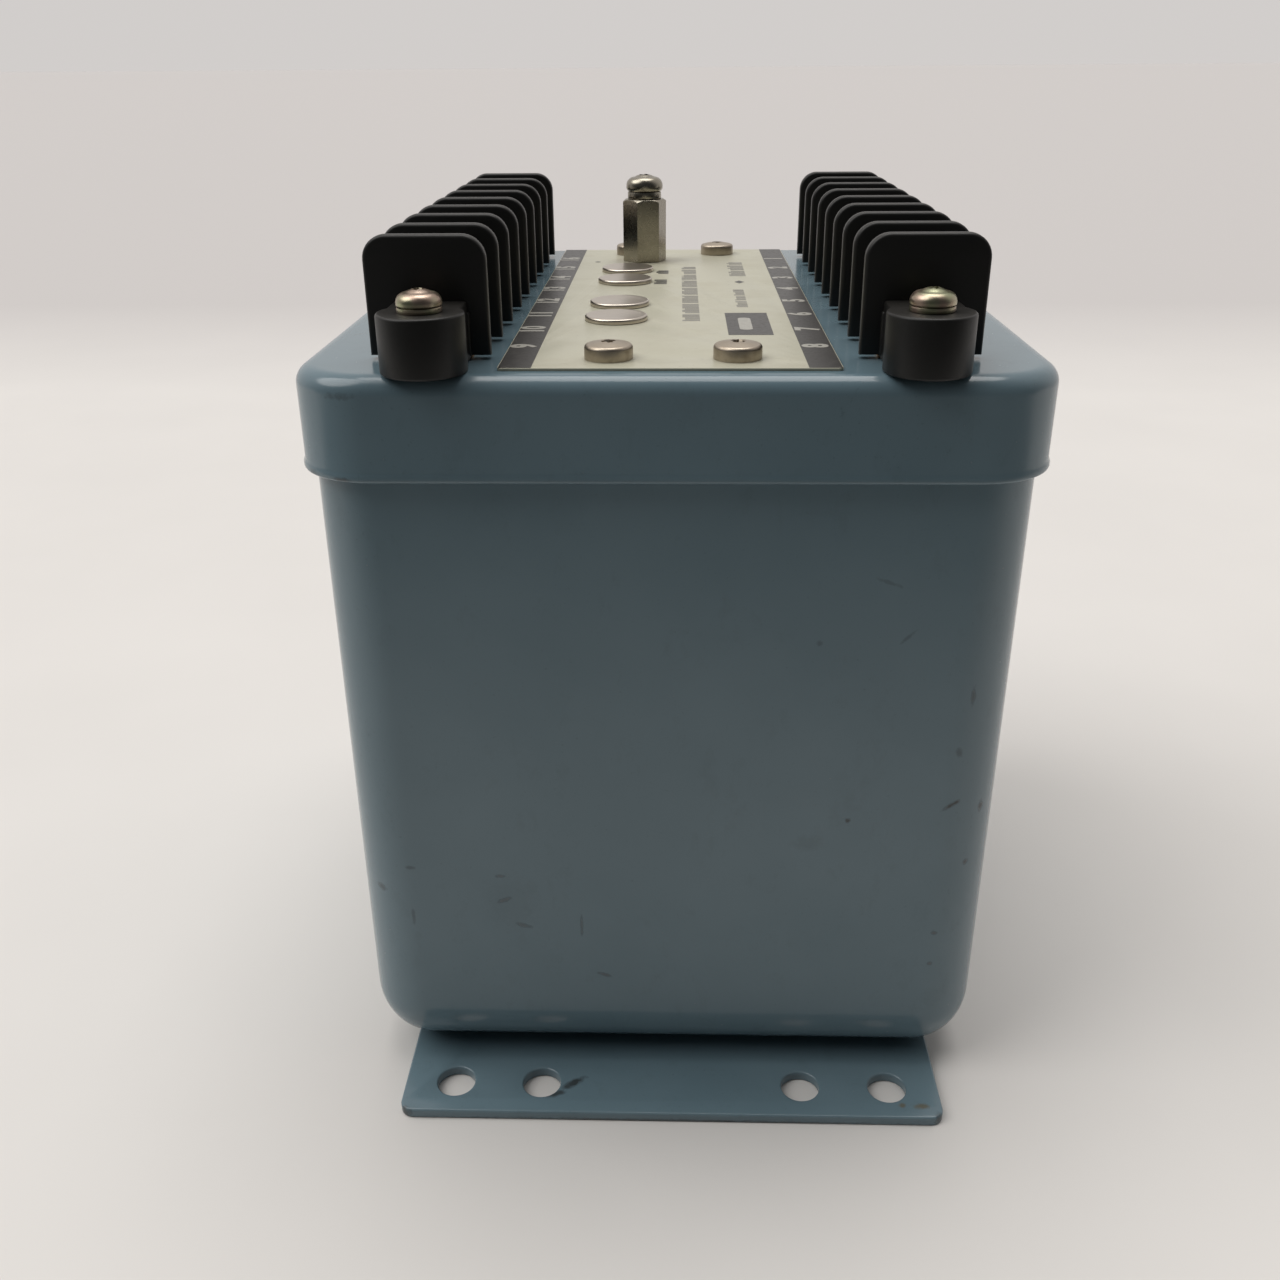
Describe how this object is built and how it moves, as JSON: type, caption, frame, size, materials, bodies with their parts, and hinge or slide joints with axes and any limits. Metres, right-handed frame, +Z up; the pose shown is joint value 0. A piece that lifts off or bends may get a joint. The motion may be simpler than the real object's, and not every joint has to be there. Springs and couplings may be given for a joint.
{
  "type": "ac power transducer",
  "caption": "Drawn steel can with a cap lid, two barrier terminal blocks, adjuster plugs and a flanged base plate, for panel mounting.",
  "frame": {"origin": "middle of the base plate's underside, on the surface that the part stands on", "axes": "+Z up through the lid; the terminal rows run along Y; the front view looks along +Y; +X right"},
  "size_m": [0.0958, 0.1284, 0.1248],
  "materials": {
    "blue_enamel": "satin grey-blue enamel over drawn steel, scuffed at edges",
    "label_foil": "cream printed aluminium foil plate with dark number strips",
    "black_phenolic": "black moulded phenolic, satin",
    "fish_paper": "vulcanised fibre sheet",
    "nickel_plate": "bright nickel plate on steel",
    "zinc_plate": "zinc plate with yellow passivate",
    "board_laminate": "green solder mask on glass laminate",
    "trimmer_case": "blue moulded case",
    "trimmer_brass": "machined brass",
    "core_steel": "varnished steel laminations",
    "winding": "copper winding under yellow polyester tape"
  },
  "bodies": {
    "housing": {"base_plate": "blue_enamel", "can": "blue_enamel", "lid": "blue_enamel", "label_plate": "label_foil", "terminal_block_left": "black_phenolic", "terminal_block_right": "black_phenolic", "block_gasket_left": "fish_paper", "block_gasket_right": "fish_paper", "insulating_liner": "fish_paper", "label_screw_front_left": "nickel_plate", "label_screw_front_right": "nickel_plate", "label_screw_rear_left": "nickel_plate", "label_screw_rear_right": "nickel_plate", "hex_post": "nickel_plate", "post_lock_washer": "nickel_plate", "board_spacer_front_left": "nickel_plate", "board_spacer_front_right": "nickel_plate", "board_spacer_rear_left": "nickel_plate", "board_spacer_rear_right": "nickel_plate", "block_screw_left_front": "zinc_plate", "block_screw_left_rear": "zinc_plate", "block_screw_right_front": "zinc_plate", "block_screw_right_rear": "zinc_plate", "circuit_board": "board_laminate", "trimmer_body_1": "trimmer_case", "trimmer_body_2": "trimmer_case", "trimmer_body_3": "trimmer_case", "trimmer_body_4": "trimmer_case", "transformer_core_front": "core_steel", "transformer_core_rear": "core_steel", "transformer_coil_front": "winding", "transformer_coil_rear": "winding", "current_transformer_front": "winding", "current_transformer_rear": "winding"},
    "terminal_screw_left_1": {"terminal_screw_left_1": "nickel_plate"},
    "terminal_screw_left_2": {"terminal_screw_left_2": "nickel_plate"},
    "terminal_screw_left_3": {"terminal_screw_left_3": "nickel_plate"},
    "terminal_screw_left_4": {"terminal_screw_left_4": "nickel_plate"},
    "terminal_screw_left_5": {"terminal_screw_left_5": "nickel_plate"},
    "terminal_screw_left_6": {"terminal_screw_left_6": "nickel_plate"},
    "terminal_screw_left_7": {"terminal_screw_left_7": "nickel_plate"},
    "terminal_screw_left_8": {"terminal_screw_left_8": "nickel_plate"},
    "terminal_screw_right_1": {"terminal_screw_right_1": "nickel_plate"},
    "terminal_screw_right_2": {"terminal_screw_right_2": "nickel_plate"},
    "terminal_screw_right_3": {"terminal_screw_right_3": "nickel_plate"},
    "terminal_screw_right_4": {"terminal_screw_right_4": "nickel_plate"},
    "terminal_screw_right_5": {"terminal_screw_right_5": "nickel_plate"},
    "terminal_screw_right_6": {"terminal_screw_right_6": "nickel_plate"},
    "terminal_screw_right_7": {"terminal_screw_right_7": "nickel_plate"},
    "terminal_screw_right_8": {"terminal_screw_right_8": "nickel_plate"},
    "post_screw": {"post_screw": "nickel_plate"},
    "adjuster_plug_1": {"adjuster_plug_1": "nickel_plate"},
    "adjuster_plug_2": {"adjuster_plug_2": "nickel_plate"},
    "adjuster_plug_3": {"adjuster_plug_3": "nickel_plate"},
    "adjuster_plug_4": {"adjuster_plug_4": "nickel_plate"},
    "trimmer_rotor_1": {"trimmer_rotor_1": "trimmer_brass"},
    "trimmer_rotor_2": {"trimmer_rotor_2": "trimmer_brass"},
    "trimmer_rotor_3": {"trimmer_rotor_3": "trimmer_brass"},
    "trimmer_rotor_4": {"trimmer_rotor_4": "trimmer_brass"}
  },
  "joints": [
    {"name": "terminal_screw_left_1_turn", "type": "hinge", "parent": "housing", "child": "terminal_screw_left_1", "pos_m": [-0.0307, -0.03889, 0.1169], "axis": [0, 0, 1], "range_deg": [0, 1170]},
    {"name": "terminal_screw_left_2_turn", "type": "hinge", "parent": "housing", "child": "terminal_screw_left_2", "pos_m": [-0.0307, -0.02778, 0.1169], "axis": [0, 0, 1], "range_deg": [0, 1170]},
    {"name": "terminal_screw_left_3_turn", "type": "hinge", "parent": "housing", "child": "terminal_screw_left_3", "pos_m": [-0.0307, -0.01667, 0.1169], "axis": [0, 0, 1], "range_deg": [0, 1170]},
    {"name": "terminal_screw_left_4_turn", "type": "hinge", "parent": "housing", "child": "terminal_screw_left_4", "pos_m": [-0.0307, -0.00556, 0.1169], "axis": [0, 0, 1], "range_deg": [0, 1170]},
    {"name": "terminal_screw_left_5_turn", "type": "hinge", "parent": "housing", "child": "terminal_screw_left_5", "pos_m": [-0.0307, 0.00556, 0.1169], "axis": [0, 0, 1], "range_deg": [0, 1170]},
    {"name": "terminal_screw_left_6_turn", "type": "hinge", "parent": "housing", "child": "terminal_screw_left_6", "pos_m": [-0.0307, 0.01667, 0.1169], "axis": [0, 0, 1], "range_deg": [0, 1170]},
    {"name": "terminal_screw_left_7_turn", "type": "hinge", "parent": "housing", "child": "terminal_screw_left_7", "pos_m": [-0.0307, 0.02778, 0.1169], "axis": [0, 0, 1], "range_deg": [0, 1170]},
    {"name": "terminal_screw_left_8_turn", "type": "hinge", "parent": "housing", "child": "terminal_screw_left_8", "pos_m": [-0.0307, 0.03889, 0.1169], "axis": [0, 0, 1], "range_deg": [0, 1170]},
    {"name": "terminal_screw_right_1_turn", "type": "hinge", "parent": "housing", "child": "terminal_screw_right_1", "pos_m": [0.0307, -0.03889, 0.1169], "axis": [0, 0, 1], "range_deg": [0, 1170]},
    {"name": "terminal_screw_right_2_turn", "type": "hinge", "parent": "housing", "child": "terminal_screw_right_2", "pos_m": [0.0307, -0.02778, 0.1169], "axis": [0, 0, 1], "range_deg": [0, 1170]},
    {"name": "terminal_screw_right_3_turn", "type": "hinge", "parent": "housing", "child": "terminal_screw_right_3", "pos_m": [0.0307, -0.01667, 0.1169], "axis": [0, 0, 1], "range_deg": [0, 1170]},
    {"name": "terminal_screw_right_4_turn", "type": "hinge", "parent": "housing", "child": "terminal_screw_right_4", "pos_m": [0.0307, -0.00556, 0.1169], "axis": [0, 0, 1], "range_deg": [0, 1170]},
    {"name": "terminal_screw_right_5_turn", "type": "hinge", "parent": "housing", "child": "terminal_screw_right_5", "pos_m": [0.0307, 0.00556, 0.1169], "axis": [0, 0, 1], "range_deg": [0, 1170]},
    {"name": "terminal_screw_right_6_turn", "type": "hinge", "parent": "housing", "child": "terminal_screw_right_6", "pos_m": [0.0307, 0.01667, 0.1169], "axis": [0, 0, 1], "range_deg": [0, 1170]},
    {"name": "terminal_screw_right_7_turn", "type": "hinge", "parent": "housing", "child": "terminal_screw_right_7", "pos_m": [0.0307, 0.02778, 0.1169], "axis": [0, 0, 1], "range_deg": [0, 1170]},
    {"name": "terminal_screw_right_8_turn", "type": "hinge", "parent": "housing", "child": "terminal_screw_right_8", "pos_m": [0.0307, 0.03889, 0.1169], "axis": [0, 0, 1], "range_deg": [0, 1170]},
    {"name": "post_screw_turn", "type": "hinge", "parent": "housing", "child": "post_screw", "pos_m": [-0.0057, 0.0375, 0.1218], "axis": [0, 0, 1], "range_deg": [0, 1170]},
    {"name": "adjuster_plug_1_pull", "type": "slide", "parent": "housing", "child": "adjuster_plug_1", "axis": [0, 0, 1], "range_m": [0, 0.006]},
    {"name": "adjuster_plug_2_pull", "type": "slide", "parent": "housing", "child": "adjuster_plug_2", "axis": [0, 0, 1], "range_m": [0, 0.006]},
    {"name": "adjuster_plug_3_pull", "type": "slide", "parent": "housing", "child": "adjuster_plug_3", "axis": [0, 0, 1], "range_m": [0, 0.006]},
    {"name": "adjuster_plug_4_pull", "type": "slide", "parent": "housing", "child": "adjuster_plug_4", "axis": [0, 0, 1], "range_m": [0, 0.006]},
    {"name": "trimmer_rotor_1_turn", "type": "hinge", "parent": "housing", "child": "trimmer_rotor_1", "pos_m": [-0.0084, -0.0206, 0.0977], "axis": [0, 0, 1], "range_deg": [-135, 135]},
    {"name": "trimmer_rotor_2_turn", "type": "hinge", "parent": "housing", "child": "trimmer_rotor_2", "pos_m": [-0.0084, -0.0086, 0.0977], "axis": [0, 0, 1], "range_deg": [-135, 135]},
    {"name": "trimmer_rotor_3_turn", "type": "hinge", "parent": "housing", "child": "trimmer_rotor_3", "pos_m": [-0.0084, 0.0128, 0.0977], "axis": [0, 0, 1], "range_deg": [-135, 135]},
    {"name": "trimmer_rotor_4_turn", "type": "hinge", "parent": "housing", "child": "trimmer_rotor_4", "pos_m": [-0.0084, 0.0248, 0.0977], "axis": [0, 0, 1], "range_deg": [-135, 135]}
  ]
}
